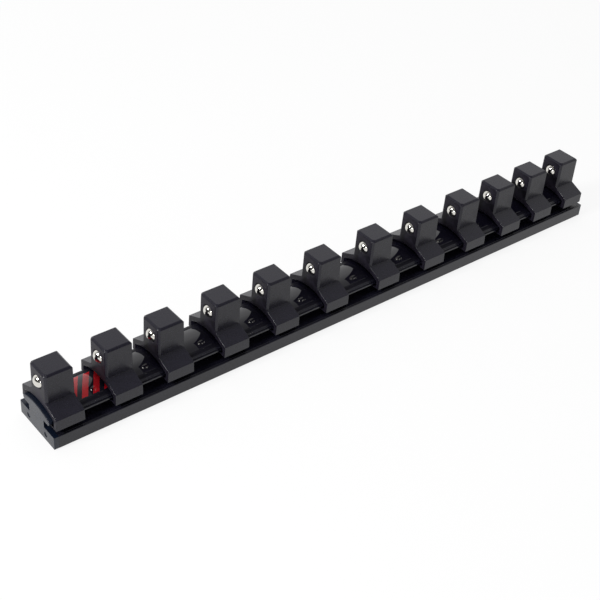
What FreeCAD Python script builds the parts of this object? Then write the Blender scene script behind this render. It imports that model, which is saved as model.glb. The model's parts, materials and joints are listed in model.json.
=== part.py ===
import FreeCAD, Part
import math
import os

# Socket rail: a hollow extruded rail with an end cap at each end, and twelve clips
# that slide along its T-shaped head. Each clip carries a square drive post with a
# sprung steel ball that holds a socket. Sizes are in millimetres.
# Frame: +X along the rail, +Y across it, +Z up, with the origin under its middle.

# ---- rail ----------------------------------------------------------------------
RAIL_LENGTH = 313.0
BASE_WIDTH = 28.0
BASE_HEIGHT = 6.35
BASE_TOP_BEVEL = 0.3
BASE_FOOT_BEVEL = 0.3
NECK_WIDTH = 11.8
NECK_HEIGHT = 3.6
HEAD_WIDTH = 21.0
CROWN_RADIUS = 24.8
LIP_UNDERCUT = 0.75
LIP_FACE = 0.85
LIP_GROOVE_HEIGHT = 0.35
LIP_GROOVE_DEPTH = 0.55
HEAD_EDGE_STEP = 0.3
HEAD_EDGE_BEVEL = 0.45
BEAD_INSET = 1.05
BEAD_RADIUS = 0.18
RAIL_WALL = 1.7
CHAMBER_CORNER = 0.6

# ---- gloss strip let into the crown ----------------------------------------------
STRIP_WIDTH = 16.4
STRIP_THICKNESS = 0.3
STRIP_CLEARANCE = 0.02

# ---- end caps ----------------------------------------------------------------------
CAP_THICKNESS = 2.25
CAP_SIDE_INSET = 0.05
CAP_CROWN_ROUND = 0.3
CAP_SIDE_ROUND = 0.5
CAP_FOOT_BEVEL = 0.3
PRONG_LENGTH = 8.5
PRONG_CLEARANCE = 0.1
PRONG_TIP_BEVEL = 0.7
PIN_MARK_RADIUS = 1.2
PIN_MARK_DEPTH = 0.25

# ---- clips -------------------------------------------------------------------------
CLIP_LENGTH = 13.2
CLIP_TAPER = 0.25
CLIP_CLEARANCE = 0.25
CLIP_LEG_WALL = 3.0
CLIP_SKIRT_RISE = 2.65
CLIP_EDGE_HEIGHT = 5.45
CLIP_CROWN_WALL = 3.15
HOOK_REACH = 2.45
MOUTH_BEVEL = 1.1
CLIP_EDGE_ROUND = 0.35
# Relative spaces along the rail: left end to first clip, clip to clip, last clip to right end.
CLIP_SPACES = (1.3, 14.0, 12.1, 15.8, 14.6, 15.8, 18.6, 16.4, 15.0, 12.3, 10.8, 10.2, 2.1)

# ---- square drive post ---------------------------------------------------------------
DRIVE_SQUARE = 12.7
POST_HEIGHT = 14.15
POST_TAPER = 0.1
POST_FRONT_BEVEL = 0.95
POST_BACK_BEVEL = 0.35
POST_TOP_BEVEL = 0.8

# ---- detent ball and its spring -------------------------------------------------------
BALL_DIAMETER = 6.35
BALL_PROTRUSION = 1.65
BALL_HEIGHT_ON_POST = 7.7
BALL_CLEARANCE = 0.1
BALL_RECESS_DEPTH = 0.3
BALL_RECESS_MARGIN = 0.5
BALL_LIP_LENGTH = 0.3
BALL_LIP_CLEARANCE = 0.06
BORE_END_WALL = 2.0
SPRING_WIRE = 0.6
SPRING_DIAMETER = 4.6
SPRING_TURNS = 5
SPRING_END_GAP = 0.05

# ---- places that follow from the sizes above -----------------------------------------
OVERALL_LENGTH = RAIL_LENGTH + 2 * CAP_THICKNESS
HALF_BASE = BASE_WIDTH / 2
HALF_NECK = NECK_WIDTH / 2
HALF_HEAD = HEAD_WIDTH / 2
HEAD_UNDERSIDE = BASE_HEIGHT + NECK_HEIGHT
LIP_TOP = HEAD_UNDERSIDE + LIP_UNDERCUT + LIP_FACE
HEAD_EDGE_Y = HALF_HEAD - LIP_GROOVE_DEPTH + HEAD_EDGE_STEP
CROWN_EDGE_Y = HEAD_EDGE_Y - HEAD_EDGE_BEVEL
CROWN_EDGE_Z = LIP_TOP + LIP_GROOVE_HEIGHT + HEAD_EDGE_BEVEL
CROWN_CENTRE = CROWN_EDGE_Z - math.sqrt(CROWN_RADIUS ** 2 - CROWN_EDGE_Y ** 2)
CROWN_TOP = CROWN_CENTRE + CROWN_RADIUS
MOUTH_HALF_WIDTH = HALF_HEAD + CLIP_CLEARANCE
CLIP_WIDTH = 2 * (MOUTH_HALF_WIDTH + CLIP_LEG_WALL)
CLIP_BOTTOM = BASE_HEIGHT + CLIP_SKIRT_RISE
CLIP_EDGE_TOP = CLIP_BOTTOM + CLIP_EDGE_HEIGHT
POST_FOOT = CROWN_TOP + CLIP_CLEARANCE + CLIP_CROWN_WALL
POST_TOP = POST_FOOT + POST_HEIGHT
BALL_RADIUS = BALL_DIAMETER / 2
BALL_Z = POST_FOOT + BALL_HEIGHT_ON_POST
ALONG = FreeCAD.Vector(1, 0, 0)

# A cut reaches this far past the faces that it opens.
OVERCUT = 1.0
# Two lengths or places this near each other count as the same.
SAME = 1e-6


def yz(y, z):
    """Point of a section across the rail."""
    return FreeCAD.Vector(0, y, z)


def arc_height(y, radius, centre):
    """Height of an arc about the rail's middle plane, at a distance y from it."""
    return centre + math.sqrt(radius ** 2 - y ** 2)


def line(start, end):
    return Part.LineSegment(start, end).toShape()


def crown_arc(half_width, radius, centre):
    """Arc over the rail's middle, from +half_width to -half_width."""
    height = arc_height(half_width, radius, centre)
    arc = Part.Arc(yz(half_width, height), yz(0, centre + radius), yz(-half_width, height))
    return arc.toShape()


def closed_section(right_side, top):
    """Face with mirrored sides: points up the +Y side, then the edge across the top."""
    left_side = [yz(-p.y, p.z) for p in reversed(right_side)]
    edges = [line(a, b) for a, b in zip(right_side, right_side[1:])]
    edges.append(top)
    edges += [line(a, b) for a, b in zip(left_side, left_side[1:])]
    edges.append(line(left_side[-1], right_side[0]))
    return Part.Face(Part.Wire(edges))


def extrude_x(face, x_start, length):
    moved = face.translated(FreeCAD.Vector(x_start, 0, 0))
    return moved.extrude(FreeCAD.Vector(length, 0, 0))


def frustum(lower, upper):
    """Solid with flat sides between two outlines that have the same corners in order."""
    faces = [Part.Face(Part.makePolygon(lower + lower[:1]))]
    faces.append(Part.Face(Part.makePolygon(upper + upper[:1])))
    count = len(lower)
    for i in range(count):
        j = (i + 1) % count
        side = [lower[i], lower[j], upper[j], upper[i], lower[i]]
        faces.append(Part.Face(Part.makePolygon(side)))
    solid = Part.Solid(Part.Shell(faces))
    if solid.Volume < 0:
        solid.reverse()
    return solid


def bevelled_square(width, front_bevel, back_bevel, z):
    """Corners of a square about the Z axis, cut off by one size at -X and by another at +X."""
    h = width / 2
    f = h - front_bevel
    b = h - back_bevel
    corners = [(h, -b), (h, b), (b, h), (-f, h), (-h, f), (-h, -f), (-f, -h), (b, -h)]
    return [FreeCAD.Vector(x, y, z) for x, y in corners]


# ---- rail --------------------------------------------------------------------------

def rail_side():
    """Section points up the +Y side of the rail, from the foot to the crown's edge."""
    groove_y = HALF_HEAD - LIP_GROOVE_DEPTH
    groove_top = LIP_TOP + LIP_GROOVE_HEIGHT
    return [
        yz(HALF_BASE - BASE_FOOT_BEVEL, 0),
        yz(HALF_BASE, BASE_FOOT_BEVEL),
        yz(HALF_BASE, BASE_HEIGHT - BASE_TOP_BEVEL),
        yz(HALF_BASE - BASE_TOP_BEVEL, BASE_HEIGHT),
        yz(HALF_NECK, BASE_HEIGHT),
        yz(HALF_NECK, HEAD_UNDERSIDE),
        yz(HALF_HEAD - LIP_UNDERCUT, HEAD_UNDERSIDE),
        yz(HALF_HEAD, LIP_TOP - LIP_FACE),
        yz(HALF_HEAD, LIP_TOP),
        yz(groove_y, LIP_TOP),
        yz(groove_y, groove_top),
        yz(HEAD_EDGE_Y, groove_top),
        yz(CROWN_EDGE_Y, CROWN_EDGE_Z),
    ]


def chambers():
    """Hollows of the extrusion as (y_middle, width, z_low, height)."""
    middle_width = NECK_WIDTH - 2 * RAIL_WALL
    roof = arc_height(middle_width / 2, CROWN_RADIUS, CROWN_CENTRE) - STRIP_THICKNESS - RAIL_WALL
    side_width = HALF_BASE - RAIL_WALL - (HALF_NECK + RAIL_WALL / 2)
    side_middle = HALF_BASE - RAIL_WALL - side_width / 2
    side_height = BASE_HEIGHT - 2 * RAIL_WALL
    return [
        (0, middle_width, RAIL_WALL, roof - RAIL_WALL),
        (side_middle, side_width, RAIL_WALL, side_height),
        (-side_middle, side_width, RAIL_WALL, side_height),
    ]


def make_hollow(y_middle, width, z_low, height):
    """One chamber as a solid that runs out of both ends of the rail."""
    start = FreeCAD.Vector(-RAIL_LENGTH, y_middle - width / 2, z_low)
    box = Part.makeBox(2 * RAIL_LENGTH, width, height, start)
    long_edges = [e for e in box.Edges if e.Length > RAIL_LENGTH]
    return box.makeFillet(CHAMBER_CORNER, long_edges)


def strip_section(thickness, radius, half_width):
    """Ring sector that lies on the crown, thickness deep below the given radius."""
    outer = crown_arc(half_width, radius, CROWN_CENTRE)
    inner = crown_arc(half_width, radius - thickness, CROWN_CENTRE)
    ends = [line(outer.Vertexes[i].Point, inner.Vertexes[i].Point) for i in (0, 1)]
    return Part.Face(Part.Wire(Part.__sortEdges__([outer, inner] + ends)))


def make_rail():
    crown = crown_arc(CROWN_EDGE_Y, CROWN_RADIUS, CROWN_CENTRE)
    solid = extrude_x(closed_section(rail_side(), crown), -RAIL_LENGTH / 2, RAIL_LENGTH)
    for sign in (-1, 1):
        start = FreeCAD.Vector(-RAIL_LENGTH / 2, sign * (HALF_BASE - BEAD_INSET), BASE_HEIGHT)
        solid = solid.fuse(Part.makeCylinder(BEAD_RADIUS, RAIL_LENGTH, start, ALONG))
    for y_middle, width, z_low, height in chambers():
        solid = solid.cut(make_hollow(y_middle, width, z_low, height))
    seat = strip_section(STRIP_THICKNESS + OVERCUT, CROWN_RADIUS + OVERCUT, STRIP_WIDTH / 2)
    return solid.cut(extrude_x(seat, -RAIL_LENGTH, 2 * RAIL_LENGTH)).removeSplitter()


def make_crown_strip():
    thickness = STRIP_THICKNESS - STRIP_CLEARANCE
    half_width = STRIP_WIDTH / 2 - STRIP_CLEARANCE
    section = strip_section(thickness, CROWN_RADIUS, half_width)
    return extrude_x(section, -RAIL_LENGTH / 2, RAIL_LENGTH)


# ---- end caps ----------------------------------------------------------------------

def cap_section():
    """The rail's outline without its lip grooves, with its sides and foot drawn in a little."""
    half_base = HALF_BASE - CAP_SIDE_INSET
    half_head = HALF_HEAD - CAP_SIDE_INSET
    side = [
        yz(half_base - CAP_FOOT_BEVEL, CAP_SIDE_INSET),
        yz(half_base, CAP_SIDE_INSET + CAP_FOOT_BEVEL),
        yz(half_base, BASE_HEIGHT - CAP_SIDE_INSET),
        yz(HALF_NECK, BASE_HEIGHT - CAP_SIDE_INSET),
        yz(HALF_NECK, HEAD_UNDERSIDE + CAP_SIDE_INSET),
        yz(half_head - LIP_UNDERCUT, HEAD_UNDERSIDE + CAP_SIDE_INSET),
        yz(half_head, HEAD_UNDERSIDE + CAP_SIDE_INSET + LIP_UNDERCUT),
        yz(half_head, arc_height(half_head, CROWN_RADIUS, CROWN_CENTRE)),
    ]
    return closed_section(side, crown_arc(half_head, CROWN_RADIUS, CROWN_CENTRE))


def round_cap_face(plate, x_face):
    """Round the edges of the cap's outer face: the crown more than the flanks."""
    rim = [e for e in plate.Edges if all(abs(v.X - x_face) < SAME for v in e.Vertexes)]
    plate = plate.makeFillet(CAP_CROWN_ROUND, [e for e in rim if isinstance(e.Curve, Part.Circle)])
    flank_y = HALF_BASE - CAP_SIDE_INSET - SAME
    flanks = [e for e in plate.Edges if all(abs(v.Y) > flank_y for v in e.Vertexes)]
    on_face = [e for e in flanks if all(abs(v.X - x_face) < SAME for v in e.Vertexes)]
    return plate.makeFillet(CAP_SIDE_ROUND, on_face)


def make_prong(y_middle, width, z_low, height):
    """Tapered plug of an end cap, which fits a hollow of the rail."""
    c = PRONG_CLEARANCE
    low_y = y_middle - width / 2 + c
    high_y = y_middle + width / 2 - c
    low_z = z_low + c
    high_z = z_low + height - c
    root_x = -RAIL_LENGTH / 2 - CAP_THICKNESS / 2
    bend_x = -RAIL_LENGTH / 2 + PRONG_LENGTH - PRONG_TIP_BEVEL
    tip_x = bend_x + PRONG_TIP_BEVEL
    corner = CHAMBER_CORNER

    def outline(x, inset):
        a, b, d, e = low_y + inset, high_y - inset, low_z + inset, high_z - inset
        pairs = [(a + corner, d), (b - corner, d), (b, d + corner), (b, e - corner),
                 (b - corner, e), (a + corner, e), (a, e - corner), (a, d + corner)]
        return [FreeCAD.Vector(x, y, z) for y, z in pairs]

    body = frustum(outline(root_x, 0), outline(bend_x, 0))
    tip = frustum(outline(bend_x, 0), outline(tip_x, PRONG_TIP_BEVEL / 2))
    return body.fuse(tip)


def make_left_cap():
    x_face = -OVERALL_LENGTH / 2
    plate = round_cap_face(extrude_x(cap_section(), x_face, CAP_THICKNESS), x_face)
    for y_middle, width, z_low, height in chambers():
        plate = plate.fuse(make_prong(y_middle, width, z_low, height))
    for sign in (-1, 1):
        centre = FreeCAD.Vector(x_face, sign * HALF_BASE / 2, BASE_HEIGHT / 2)
        plate = plate.cut(Part.makeCylinder(PIN_MARK_RADIUS, PIN_MARK_DEPTH, centre, ALONG))
    return plate.removeSplitter()


def turned_end_for_end(shape):
    return shape.rotated(FreeCAD.Vector(0, 0, 0), FreeCAD.Vector(0, 0, 1), 180)


# ---- clip, ball and spring, all about the clip's own middle plane --------------------

def post_half_width(z):
    """Half the width of the drive post at a height: it tapers towards its top."""
    return (DRIVE_SQUARE - 2 * POST_TAPER * (z - POST_FOOT) / POST_HEIGHT) / 2


def ball_x():
    """Place of the ball's centre behind the post's -X face."""
    return -post_half_width(BALL_Z) - BALL_PROTRUSION + BALL_RADIUS


def ball_section_radius(x):
    """Radius of the ball's round section in the plane at x."""
    return math.sqrt(BALL_RADIUS ** 2 - (x - ball_x()) ** 2)


def saddle_section():
    """Outline of the clip across the rail, with its two sloping shoulders."""
    half_width = CLIP_WIDTH / 2
    half_post = DRIVE_SQUARE / 2
    return closed_section(
        [yz(half_width, CLIP_BOTTOM), yz(half_width, CLIP_EDGE_TOP), yz(half_post, POST_FOOT)],
        line(yz(half_post, POST_FOOT), yz(-half_post, POST_FOOT)))


def make_saddle():
    """Body of the clip before its opening is cut: drafted ends and rounded edges."""
    block = extrude_x(saddle_section(), -CLIP_LENGTH / 2, CLIP_LENGTH)
    half_low = CLIP_LENGTH / 2
    half_high = CLIP_LENGTH / 2 - CLIP_TAPER
    signs = ((-1, -1), (1, -1), (1, 1), (-1, 1))

    def outline(half, z):
        return [FreeCAD.Vector(a * half, b * CLIP_WIDTH, z) for a, b in signs]

    block = block.common(frustum(outline(half_low, CLIP_BOTTOM), outline(half_high, POST_FOOT)))

    def is_rounded(edge):
        heights = [v.Z for v in edge.Vertexes]
        return max(heights) > CLIP_BOTTOM + SAME and min(heights) < POST_FOOT - SAME

    return block.makeFillet(CLIP_EDGE_ROUND, [e for e in block.Edges if is_rounded(e)])


def mouth_section(grow, low_z):
    """Opening of the clip above its hooks, made larger all round by grow."""
    half = MOUTH_HALF_WIDTH + grow
    radius = CROWN_RADIUS + CLIP_CLEARANCE + grow
    side = [yz(half, low_z), yz(half, arc_height(half, radius, CROWN_CENTRE))]
    return closed_section(side, crown_arc(half, radius, CROWN_CENTRE))


def mouth_bevel(sign):
    """Flared mouth of the opening at one end of the clip."""
    low_z = HEAD_UNDERSIDE - CLIP_CLEARANCE
    end_x = sign * CLIP_LENGTH / 2
    wide = mouth_section(MOUTH_BEVEL + OVERCUT, low_z).OuterWire
    narrow = mouth_section(0, low_z).OuterWire
    wide = wide.translated(FreeCAD.Vector(end_x + sign * OVERCUT, 0, 0))
    narrow = narrow.translated(FreeCAD.Vector(end_x - sign * MOUTH_BEVEL, 0, 0))
    return Part.makeLoft([wide, narrow], True, True)


def make_post():
    low_width = 2 * post_half_width(POST_FOOT)
    bevel_z = POST_TOP - POST_TOP_BEVEL
    bevel_width = 2 * post_half_width(bevel_z)
    top_width = bevel_width - 2 * POST_TOP_BEVEL
    top_share = 1 - POST_TOP_BEVEL / bevel_width
    root = bevelled_square(low_width, POST_FRONT_BEVEL, POST_BACK_BEVEL, POST_FOOT)
    sunk = [FreeCAD.Vector(p.x, p.y, CROWN_TOP + CLIP_CLEARANCE + CLIP_CROWN_WALL / 2) for p in root]
    rim = bevelled_square(bevel_width, POST_FRONT_BEVEL, POST_BACK_BEVEL, bevel_z)
    top = bevelled_square(top_width, top_share * POST_FRONT_BEVEL, top_share * POST_BACK_BEVEL, POST_TOP)
    lower = frustum(sunk, root).fuse(frustum(root, rim))
    return lower.fuse(frustum(rim, top))


def round_hole(radius, x_start, x_end):
    return Part.makeCylinder(radius, x_end - x_start, FreeCAD.Vector(x_start, 0, BALL_Z), ALONG)


def bore_end():
    return post_half_width(BALL_Z) - BORE_END_WALL


def make_clip():
    solid = make_saddle().fuse(make_post())
    full = 2 * CLIP_LENGTH
    hook_top = HEAD_UNDERSIDE - CLIP_CLEARANCE
    solid = solid.cut(extrude_x(mouth_section(0, hook_top), -CLIP_LENGTH, full))
    gap_half = MOUTH_HALF_WIDTH - HOOK_REACH
    throat = Part.makeBox(full, 2 * gap_half, hook_top, FreeCAD.Vector(-CLIP_LENGTH, -gap_half, 0))
    solid = solid.cut(throat)
    for sign in (-1, 1):
        solid = solid.cut(mouth_bevel(sign))
    face_x = -post_half_width(BALL_Z)
    lip_x = face_x + BALL_RECESS_DEPTH
    bore_x = lip_x + BALL_LIP_LENGTH
    recess_radius = ball_section_radius(face_x) + BALL_RECESS_MARGIN
    lip_radius = ball_section_radius(bore_x) + BALL_LIP_CLEARANCE
    solid = solid.cut(round_hole(recess_radius, face_x - OVERCUT, lip_x))
    solid = solid.cut(round_hole(lip_radius, face_x - OVERCUT, bore_x + BALL_CLEARANCE))
    solid = solid.cut(round_hole(BALL_RADIUS + BALL_CLEARANCE, bore_x, bore_end()))
    return solid.removeSplitter()


def make_ball():
    return Part.makeSphere(BALL_RADIUS, FreeCAD.Vector(ball_x(), 0, BALL_Z))


def make_spring():
    """Coil from the back of the ball to the end of the bore."""
    mean_radius = (SPRING_DIAMETER - SPRING_WIRE) / 2
    seat = BALL_RADIUS + SPRING_WIRE / 2 + SPRING_END_GAP
    start_x = ball_x() + math.sqrt(seat ** 2 - mean_radius ** 2)
    end_x = bore_end() - SPRING_WIRE / 2 - SPRING_END_GAP
    height = end_x - start_x
    helix = Part.makeHelix(height / SPRING_TURNS, height, mean_radius)
    wire = Part.Wire(Part.makeCircle(SPRING_WIRE / 2, FreeCAD.Vector(mean_radius, 0, 0),
                                     FreeCAD.Vector(0, 1, 0)))
    coil = Part.Wire(helix.Edges).makePipeShell([wire], True, True)
    coil.rotate(FreeCAD.Vector(0, 0, 0), FreeCAD.Vector(0, 1, 0), 90)
    return coil.translated(FreeCAD.Vector(start_x, 0, BALL_Z))


def clip_centres():
    """Middle of each clip along X: the free length is shared out by CLIP_SPACES."""
    clip_count = len(CLIP_SPACES) - 1
    free = OVERALL_LENGTH - clip_count * CLIP_LENGTH
    scale = free / sum(CLIP_SPACES)
    centres = []
    x = -OVERALL_LENGTH / 2
    for space in CLIP_SPACES[:-1]:
        x += space * scale + CLIP_LENGTH / 2
        centres.append(x)
        x += CLIP_LENGTH / 2
    return centres


def save(shape, node):
    shape.exportStep("parts/" + node + ".step")
    print(node, "valid", shape.isValid(), "solids", len(shape.Solids), "mm3 %.2f" % shape.Volume)


def main():
    os.makedirs("parts", exist_ok=True)
    left_cap = make_left_cap()
    save(make_rail(), "rail")
    save(make_crown_strip(), "crown_strip")
    save(left_cap, "end_cap_left")
    save(turned_end_for_end(left_cap), "end_cap_right")
    clip = make_clip()
    ball = make_ball()
    spring = make_spring()
    for number, x in enumerate(clip_centres(), start=1):
        place = FreeCAD.Vector(x, 0, 0)
        save(clip.translated(place), "clip_%02d" % number)
        save(ball.translated(place), "detent_ball_%02d" % number)
        save(spring.translated(place), "detent_spring_%02d" % number)


main()
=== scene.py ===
"""Looks of a socket rail: an extruded rail with two end caps and twelve sliding drive clips.

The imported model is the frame. The end caps keep the frame's own shape. Every other piece is
built here in millimetres, at the frame's own places, and rides on the frame's bodies.
"""

from __future__ import annotations

import json
import logging
import math
from dataclasses import dataclass, field
from enum import Enum
from typing import Callable, Iterable, Sequence

import bmesh
import bpy
from mathutils import Matrix, Vector
from mathutils.geometry import tessellate_polygon

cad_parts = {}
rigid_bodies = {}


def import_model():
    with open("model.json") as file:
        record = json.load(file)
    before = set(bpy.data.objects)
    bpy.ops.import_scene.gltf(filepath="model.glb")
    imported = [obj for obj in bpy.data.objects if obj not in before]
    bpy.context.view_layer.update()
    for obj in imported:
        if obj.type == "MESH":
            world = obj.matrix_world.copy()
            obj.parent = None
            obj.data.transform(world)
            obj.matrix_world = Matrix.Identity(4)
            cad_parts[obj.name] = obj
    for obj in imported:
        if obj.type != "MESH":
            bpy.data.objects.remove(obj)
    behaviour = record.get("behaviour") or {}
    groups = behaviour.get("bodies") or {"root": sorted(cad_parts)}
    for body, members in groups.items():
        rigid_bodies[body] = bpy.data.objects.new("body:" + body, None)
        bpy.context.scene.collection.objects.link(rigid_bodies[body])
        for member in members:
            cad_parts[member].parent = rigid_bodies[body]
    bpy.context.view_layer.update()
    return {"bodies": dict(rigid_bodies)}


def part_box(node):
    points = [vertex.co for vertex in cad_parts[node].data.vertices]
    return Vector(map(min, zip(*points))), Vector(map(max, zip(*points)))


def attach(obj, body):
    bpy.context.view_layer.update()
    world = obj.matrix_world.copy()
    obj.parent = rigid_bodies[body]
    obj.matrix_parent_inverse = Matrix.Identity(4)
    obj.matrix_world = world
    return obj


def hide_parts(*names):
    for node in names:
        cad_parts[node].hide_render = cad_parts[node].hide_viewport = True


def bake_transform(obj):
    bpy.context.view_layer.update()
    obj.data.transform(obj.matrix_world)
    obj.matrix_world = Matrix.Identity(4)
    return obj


LOG = logging.getLogger("socket_rail")
MM = 0.001
WHITE = (1.0, 1.0, 1.0, 1.0)

Point2 = tuple[float, float]
Point3 = tuple[float, float, float]
Socket = bpy.types.NodeSocket


class Slot(Enum):
    """Material slots of the record."""

    RAIL = "rail_anodised"
    CROWN = "crown_gloss"
    CAP = "cap_plastic"
    CLIP = "clip_plastic"
    BALL = "ball_steel"
    SPRING = "spring_steel"


class EndCap(Enum):
    """Nodes of the two end caps."""

    LEFT = "end_cap_left"
    RIGHT = "end_cap_right"


# ---------------------------------------------------------------- node graphs


@dataclass(frozen=True)
class Pattern:
    """A noise pattern: how many grains per millimetre, and how rich it is.

    The factors scale the coordinates: one under 1 draws the pattern out along its axis.
    """

    per_mm: float
    detail: float = 2.0
    roughness: float = 0.5
    factors: Point3 | None = None


class NodeGraph:
    """Short way to add and join the nodes of one material or world."""

    # A Mix node's colour sockets are found by number, because its other kinds have the same names.
    MIX_COLOURS = (6, 7)
    MIX_RESULT = 2

    def __init__(self, tree: bpy.types.NodeTree) -> None:
        """Empties the tree, to fill it anew."""
        self.tree = tree
        self.tree.nodes.clear()

    def add(self, kind: str, inputs: dict[str | int, object] | None = None,
            **settings: object) -> bpy.types.Node:
        """Adds a node.

        Args:
            kind: The node's type name, without its ShaderNode prefix.
            inputs: Values or source sockets, by the name or index of the input socket.
            settings: Properties of the node itself.

        Returns:
            The new node.
        """
        node = self.tree.nodes.new("ShaderNode" + kind)
        for name, value in settings.items():
            setattr(node, name, value)
        for name, value in (inputs or {}).items():
            if isinstance(value, bpy.types.NodeSocket):
                self.tree.links.new(value, node.inputs[name])
            else:
                node.inputs[name].default_value = value
        return node

    def math(self, operation: str, first: Socket | float, second: Socket | float = 0.0) -> Socket:
        """Adds a Math node and returns its result."""
        return self.add("Math", {0: first, 1: second}, operation=operation).outputs[0]

    def remap(self, value: Socket, source: Sequence[float], target: Sequence[float] = (0.0, 1.0)) -> Socket:
        """Adds a clamped linear remap.

        Args:
            value: What is remapped.
            source: The two values that become the target's two.
            target: The values that they become.

        Returns:
            The remapped value.
        """
        node = self.add("MapRange", {"Value": value, "From Min": source[0], "From Max": source[1],
                                     "To Min": target[0], "To Max": target[1]})
        return node.outputs["Result"]

    def noise(self, place: Socket, pattern: Pattern) -> Socket:
        """Adds a noise texture.

        Args:
            place: Coordinates in millimetres.
            pattern: The noise's pattern.

        Returns:
            The noise, from 0 to 1.
        """
        if pattern.factors is not None:
            place = self.add("Mapping", {"Vector": place, "Scale": pattern.factors}).outputs["Vector"]
        node = self.add("TexNoise", {"Vector": place, "Scale": pattern.per_mm, "Detail": pattern.detail,
                                     "Roughness": pattern.roughness})
        return node.outputs["Fac"]

    def colour_between(self, factor: Socket, first: Point3, second: Point3) -> Socket:
        """Adds a mix of two colours.

        Args:
            factor: The share of the second colour.
            first: The first colour.
            second: The second colour.

        Returns:
            The mixed colour.
        """
        node = self.add("Mix", {"Factor": factor}, data_type="RGBA")
        for number, colour in zip(self.MIX_COLOURS, (first, second)):
            node.inputs[number].default_value = (*colour, 1.0)
        return node.outputs[self.MIX_RESULT]

    def bump(self, height: Socket, strength: float, depth_mm: float, under: Socket | None = None) -> Socket:
        """Adds a bump.

        Args:
            height: The pattern that stands out.
            strength: How much of it shows.
            depth_mm: Its height.
            under: The normal that it works on, if that isn't the surface's own.

        Returns:
            The bumped normal.
        """
        inputs: dict[str | int, object] = {"Height": height, "Strength": strength, "Distance": depth_mm * MM}
        if under is not None:
            inputs["Normal"] = under
        return self.add("Bump", inputs).outputs["Normal"]

    def object_mm(self) -> Socket:
        """Adds the piece's own coordinates.

        Returns:
            The coordinates in millimetres.
        """
        source = self.add("TexCoord").outputs["Object"]
        node = self.add("VectorMath", {0: source, "Scale": 1 / MM}, operation="SCALE")
        return node.outputs["Vector"]

    def output(self, shader: Socket, kind: str = "OutputMaterial") -> None:
        """Joins a shader to the output's surface."""
        self.add(kind, {"Surface": shader})


# ---------------------------------------------------------------- finishes


@dataclass(frozen=True)
class Finish:
    """One finish: a procedural material made once and shared by the pieces that have it."""

    name: str
    colour: Point3
    roughness: float
    specular: float = 0.5
    metallic: float = 0.0

    def material(self) -> bpy.types.Material:
        """Builds the finish on first use.

        Returns:
            The finish as a material.
        """
        known = bpy.data.materials.get(self.name)
        if known is not None:
            return known
        material = bpy.data.materials.new(self.name)
        material.use_nodes = True
        graph = NodeGraph(material.node_tree)
        shader = graph.add("BsdfPrincipled", {"Metallic": self.metallic, "Specular IOR Level": self.specular})
        self.paint(graph, shader)
        graph.output(shader.outputs["BSDF"])
        return material

    def paint(self, graph: NodeGraph, shader: bpy.types.Node) -> None:
        """Joins the finish's own nodes to the shader; each finish has its own way."""
        raise NotImplementedError

    def set_inputs(self, graph: NodeGraph, shader: bpy.types.Node, **sockets: Socket) -> None:
        """Links sockets to the shader's inputs, where an underscore in a name is a space."""
        for name, socket in sockets.items():
            graph.tree.links.new(socket, shader.inputs[name.replace("_", " ")])

    def shade(self, factor: float) -> Point3:
        """The finish's colour made lighter or darker by a factor."""
        red, green, blue = self.colour
        return (red * factor, green * factor, blue * factor)

    def gloss_range(self, smoother: float, rougher: float) -> Point2:
        """Roughness from the smoothest to the roughest place."""
        return (self.roughness - smoother, self.roughness + rougher)


@dataclass(frozen=True)
class MouldedPlastic(Finish):
    """Injection-moulded plastic with a fine grain, faint flow marks and handling marks."""

    grain_mm: float = 0.30
    grain_depth_mm: float = 0.012
    grain_strength: float = 0.35
    grain_in_tone: float = 0.6
    flow: Pattern = Pattern(0.9, factors=(1.0, 1.0, 0.06))
    flow_depth_mm: float = 0.02
    flow_strength: float = 0.35
    patches: Pattern = Pattern(0.22, detail=4.0)
    patch_range: Point2 = (0.3, 0.7)
    tone_range: Point2 = (0.5, 1.1)
    smoother: float = 0.04
    rougher: float = 0.05
    dust: float = 0.10

    def paint(self, graph: NodeGraph, shader: bpy.types.Node) -> None:
        """Adds grain, flow lines and slightly uneven gloss.

        Args:
            graph: The material's graph.
            shader: Its shader node.
        """
        place = graph.object_mm()
        grain = graph.noise(place, Pattern(1 / self.grain_mm, detail=3.0, roughness=0.6))
        flow = graph.noise(place, self.flow)
        patches = graph.noise(place, self.patches)
        marks = graph.math("ADD", patches, graph.math("MULTIPLY", grain, self.grain_in_tone))
        tone = graph.remap(marks, self.tone_range)
        colour = graph.colour_between(tone, self.shade(1 - self.dust), self.shade(1 + self.dust))
        gloss = graph.remap(patches, self.patch_range, self.gloss_range(self.smoother, self.rougher))
        fine = graph.bump(grain, self.grain_strength, self.grain_depth_mm)
        normal = graph.bump(flow, self.flow_strength, self.flow_depth_mm, under=fine)
        self.set_inputs(graph, shader, Base_Color=colour, Roughness=gloss, Normal=normal)


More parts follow.
